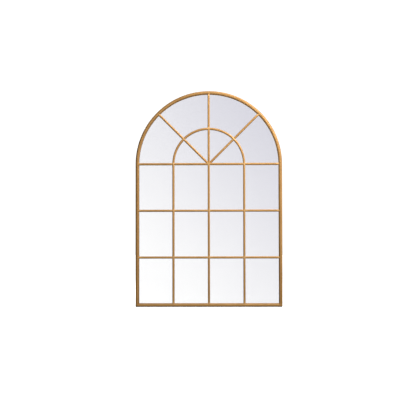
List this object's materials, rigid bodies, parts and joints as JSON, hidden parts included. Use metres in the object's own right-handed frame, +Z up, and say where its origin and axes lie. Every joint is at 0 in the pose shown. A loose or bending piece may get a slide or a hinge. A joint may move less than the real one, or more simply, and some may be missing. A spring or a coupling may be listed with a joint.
{
  "type": "arched window mirror",
  "caption": "Wall mirror shaped as an arched window: a bent gold tube frame and bevelled glazing bars in front of a mirror sheet, with a backing board, turn buttons and D-ring hangers.",
  "frame": {"origin": "middle of the frame's bottom edge, on the silvered rear face of the glass", "axes": "+X to the viewer's right, +Y from the viewer to the wall, +Z up"},
  "size_m": [0.815, 0.031, 1.1999],
  "materials": {
    "gold_frame": "satin antique-gold powder coat with a fine metallic fleck",
    "mirror": "silvered float glass",
    "foam_tape": "white double-sided foam tape",
    "fibreboard": "raw medium-density fibreboard",
    "zinc_steel": "bright zinc plate",
    "rubber": "matt black rubber"
  },
  "bodies": {
    "mirror": {"frame_arch": "gold_frame", "frame_bottom_rail": "gold_frame", "inner_arch_rod": "gold_frame", "center_rod_lower": "gold_frame", "center_rod_upper": "gold_frame", "radial_bar_left_lower": "gold_frame", "radial_bar_left_upper": "gold_frame", "radial_bar_right_lower": "gold_frame", "radial_bar_right_upper": "gold_frame", "spring_bar_1": "gold_frame", "spring_bar_2": "gold_frame", "spring_bar_3": "gold_frame", "spring_bar_4": "gold_frame", "upper_row_bar_1": "gold_frame", "upper_row_bar_2": "gold_frame", "upper_row_bar_3": "gold_frame", "upper_row_bar_4": "gold_frame", "lower_row_bar_1": "gold_frame", "lower_row_bar_2": "gold_frame", "lower_row_bar_3": "gold_frame", "lower_row_bar_4": "gold_frame", "mirror_glass": "mirror", "mounting_tape": "foam_tape", "backing_board": "fibreboard", "turn_button_screws": "zinc_steel", "hanger_screws": "zinc_steel", "hanger_strap_left": "zinc_steel", "hanger_strap_right": "zinc_steel", "bumper_left": "rubber", "bumper_right": "rubber"},
    "turn_button_left_low": {"turn_button_left_low": "zinc_steel"},
    "turn_button_left_high": {"turn_button_left_high": "zinc_steel"},
    "turn_button_right_low": {"turn_button_right_low": "zinc_steel"},
    "turn_button_right_high": {"turn_button_right_high": "zinc_steel"},
    "turn_button_arch_right": {"turn_button_arch_right": "zinc_steel"},
    "turn_button_arch_top": {"turn_button_arch_top": "zinc_steel"},
    "turn_button_arch_left": {"turn_button_arch_left": "zinc_steel"},
    "turn_button_rail_left": {"turn_button_rail_left": "zinc_steel"},
    "turn_button_rail_right": {"turn_button_rail_right": "zinc_steel"},
    "hanger_ring_left": {"hanger_ring_left": "zinc_steel"},
    "hanger_ring_right": {"hanger_ring_right": "zinc_steel"}
  },
  "joints": [
    {"name": "turn_button_left_low_swivel", "type": "hinge", "parent": "mirror", "child": "turn_button_left_low", "pos_m": [-0.3975, 0.0113, 0.17435], "axis": [0, 1, 0], "continuous": true},
    {"name": "turn_button_left_high_swivel", "type": "hinge", "parent": "mirror", "child": "turn_button_left_high", "pos_m": [-0.3975, 0.0113, 0.49135], "axis": [0, 1, 0], "continuous": true},
    {"name": "turn_button_right_low_swivel", "type": "hinge", "parent": "mirror", "child": "turn_button_right_low", "pos_m": [0.3975, 0.0113, 0.17435], "axis": [0, 1, 0], "continuous": true},
    {"name": "turn_button_right_high_swivel", "type": "hinge", "parent": "mirror", "child": "turn_button_right_high", "pos_m": [0.3975, 0.0113, 0.49135], "axis": [0, 1, 0], "continuous": true},
    {"name": "turn_button_arch_right_swivel", "type": "hinge", "parent": "mirror", "child": "turn_button_arch_right", "pos_m": [0.34425, 0.0113, 0.99125], "axis": [0, 1, 0], "continuous": true},
    {"name": "turn_button_arch_top_swivel", "type": "hinge", "parent": "mirror", "child": "turn_button_arch_top", "pos_m": [0, 0.0113, 1.19], "axis": [0, 1, 0], "continuous": true},
    {"name": "turn_button_arch_left_swivel", "type": "hinge", "parent": "mirror", "child": "turn_button_arch_left", "pos_m": [-0.34425, 0.0113, 0.99125], "axis": [0, 1, 0], "continuous": true},
    {"name": "turn_button_rail_left_swivel", "type": "hinge", "parent": "mirror", "child": "turn_button_rail_left", "pos_m": [-0.19375, 0.0113, 0.01], "axis": [0, 1, 0], "continuous": true},
    {"name": "turn_button_rail_right_swivel", "type": "hinge", "parent": "mirror", "child": "turn_button_rail_right", "pos_m": [0.19375, 0.0113, 0.01], "axis": [0, 1, 0], "continuous": true},
    {"name": "hanger_ring_left_swing", "type": "hinge", "parent": "mirror", "child": "hanger_ring_left", "pos_m": [-0.3275, 0.01378, 0.7525], "axis": [1, 0, 0], "range_deg": [0, 177]},
    {"name": "hanger_ring_right_swing", "type": "hinge", "parent": "mirror", "child": "hanger_ring_right", "pos_m": [0.3275, 0.01378, 0.7525], "axis": [1, 0, 0], "range_deg": [0, 177]}
  ]
}
